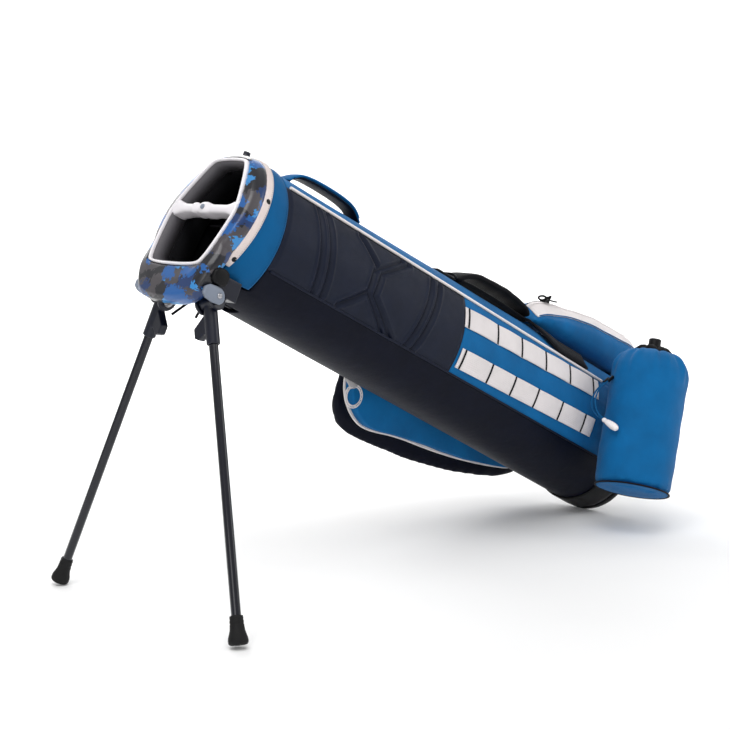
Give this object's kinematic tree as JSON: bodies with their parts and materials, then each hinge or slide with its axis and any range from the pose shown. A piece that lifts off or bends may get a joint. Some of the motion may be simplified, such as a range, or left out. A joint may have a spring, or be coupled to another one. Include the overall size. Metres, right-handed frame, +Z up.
{
  "type": "golf stand bag",
  "caption": "Slim stand golf bag leaning on two splayed legs, with a moulded two-way top, padded handle, webbing panel, zipped pockets and a drawstring pouch.",
  "frame": {"origin": "the floor under the middle of the leaning bag's footprint", "axes": "+Z up, -X towards the open top and the legs, +X towards the base, -Y the side with the drawstring pouch"},
  "size_m": [0.947, 0.3858, 0.5358],
  "materials": {
    "black_plastic": "black",
    "black_webbing": "black webbing",
    "black_wire": "black",
    "blue_cord": "braided blue cord",
    "blue_fabric": "bright blue woven cloth",
    "boot_moulding": "matte near-black",
    "camouflage_moulding": "gloss moulding with a camouflage pattern",
    "foot_rubber": "black",
    "grey_moulding": "satin grey",
    "grey_tab": "light grey tab",
    "leg_alloy": "gloss navy paint",
    "liner": "black stiff liner",
    "liner_fabric": "black lining cloth",
    "moulded_navy": "moulded soft-touch panel",
    "navy_fabric": "dark navy coated cloth",
    "navy_moulding": "satin navy",
    "pale_band": "off-white woven band",
    "pale_moulding": "satin off-white",
    "steel": "bright",
    "white_piping": "white piping",
    "white_plastic": "white",
    "white_webbing": "white ribbed webbing"
  },
  "bodies": {
    "bag": {"apparel_pocket_front": "navy_fabric", "apparel_pocket_gusset": "blue_fabric", "apparel_pocket_piping": "white_piping", "ball_pocket": "blue_fabric", "ball_pocket_zip": "white_webbing", "base_boot": "boot_moulding", "collar_band": "pale_band", "collar_screws": "black_plastic", "collar_sleeve": "blue_fabric", "cuff_knob": "black_plastic", "divider_frame": "pale_moulding", "divider_sheet": "liner_fabric", "drawstring_eyelets": "black_plastic", "drawstring_left": "blue_cord", "drawstring_right": "blue_cord", "drawstring_toggle": "white_plastic", "grab_handle": "blue_fabric", "heel_panel": "navy_fabric", "leg_bracket": "grey_moulding", "liner_lower": "liner", "liner_middle": "liner", "liner_mouth": "liner", "liner_upper": "liner", "piping_far": "white_piping", "piping_near": "white_piping", "pivot_pins": "steel", "plate_pin": "steel", "pouch": "blue_fabric", "pouch_base": "blue_fabric", "pouch_cord_lock": "black_plastic", "rod_guides": "black_plastic", "shoulder_strap": "black_webbing", "side_panel_far": "moulded_navy", "side_panel_near": "moulded_navy", "spine_panel": "blue_fabric", "strap_webbing_lower": "black_webbing", "strap_webbing_upper": "black_webbing", "top_cuff": "camouflage_moulding", "towel_ring_tab": "grey_tab", "underside_panel": "navy_fabric", "webbing_lower": "white_webbing", "webbing_panel_near": "blue_fabric", "webbing_upper": "white_webbing"},
    "leg_left": {"leg_head_left": "navy_moulding", "leg_tube_left": "leg_alloy", "leg_foot_left": "foot_rubber"},
    "leg_right": {"leg_head_right": "navy_moulding", "leg_tube_right": "leg_alloy", "leg_foot_right": "foot_rubber"},
    "actuator": {"actuator_rod": "steel", "yoke_block": "black_plastic"},
    "yoke": {"yoke_wire": "black_wire"},
    "base_plate": {"foot_plate": "foot_rubber"},
    "ring": {"towel_ring": "white_plastic"},
    "zip_slider": {"ball_pocket_slider": "black_plastic"}
  },
  "joints": [
    {"name": "leg_left_swing", "type": "hinge", "parent": "bag", "child": "leg_left", "pos_m": [-0.39317, -0.04076, 0.36275], "axis": [0.1544, -0.9359, 0.3165], "range_deg": [0, 75.9]},
    {"name": "leg_right_swing", "type": "hinge", "parent": "bag", "child": "leg_right", "pos_m": [-0.39317, 0.05024, 0.36275], "axis": [-0.1544, -0.9359, -0.3165], "range_deg": [0, 75.9]},
    {"name": "rod_slide", "type": "slide", "parent": "bag", "child": "actuator", "axis": [0.8919, 0, -0.4523], "range_m": [0, 0.0282]},
    {"name": "yoke_swing", "type": "hinge", "parent": "actuator", "child": "yoke", "pos_m": [-0.36496, 0.00474, 0.36903], "axis": [0, 1, 0], "range_deg": [0, 31.5]},
    {"name": "base_plate_tilt", "type": "hinge", "parent": "bag", "child": "base_plate", "pos_m": [0.42769, 0.00474, 0.17156], "axis": [0, -1, 0], "range_deg": [0, 8.9]},
    {"name": "towel_ring_swing", "type": "hinge", "parent": "bag", "child": "ring", "pos_m": [-0.05611, 0.07994, 0.21575], "axis": [0, 1, 0], "range_deg": [-35, 35]},
    {"name": "ball_pocket_zip", "type": "slide", "parent": "bag", "child": "zip_slider", "axis": [0.9746, 0, -0.224], "range_m": [0, 0.095]}
  ],
  "couplings": [
    {"joint": "leg_right_swing", "follows": "leg_left_swing", "ratio": 1},
    {"joint": "rod_slide", "follows": "leg_left_swing", "m_per_rad": 0.021287},
    {"joint": "yoke_swing", "follows": "leg_left_swing", "ratio": 0.41501},
    {"joint": "base_plate_tilt", "follows": "leg_left_swing", "ratio": 0.11725}
  ]
}
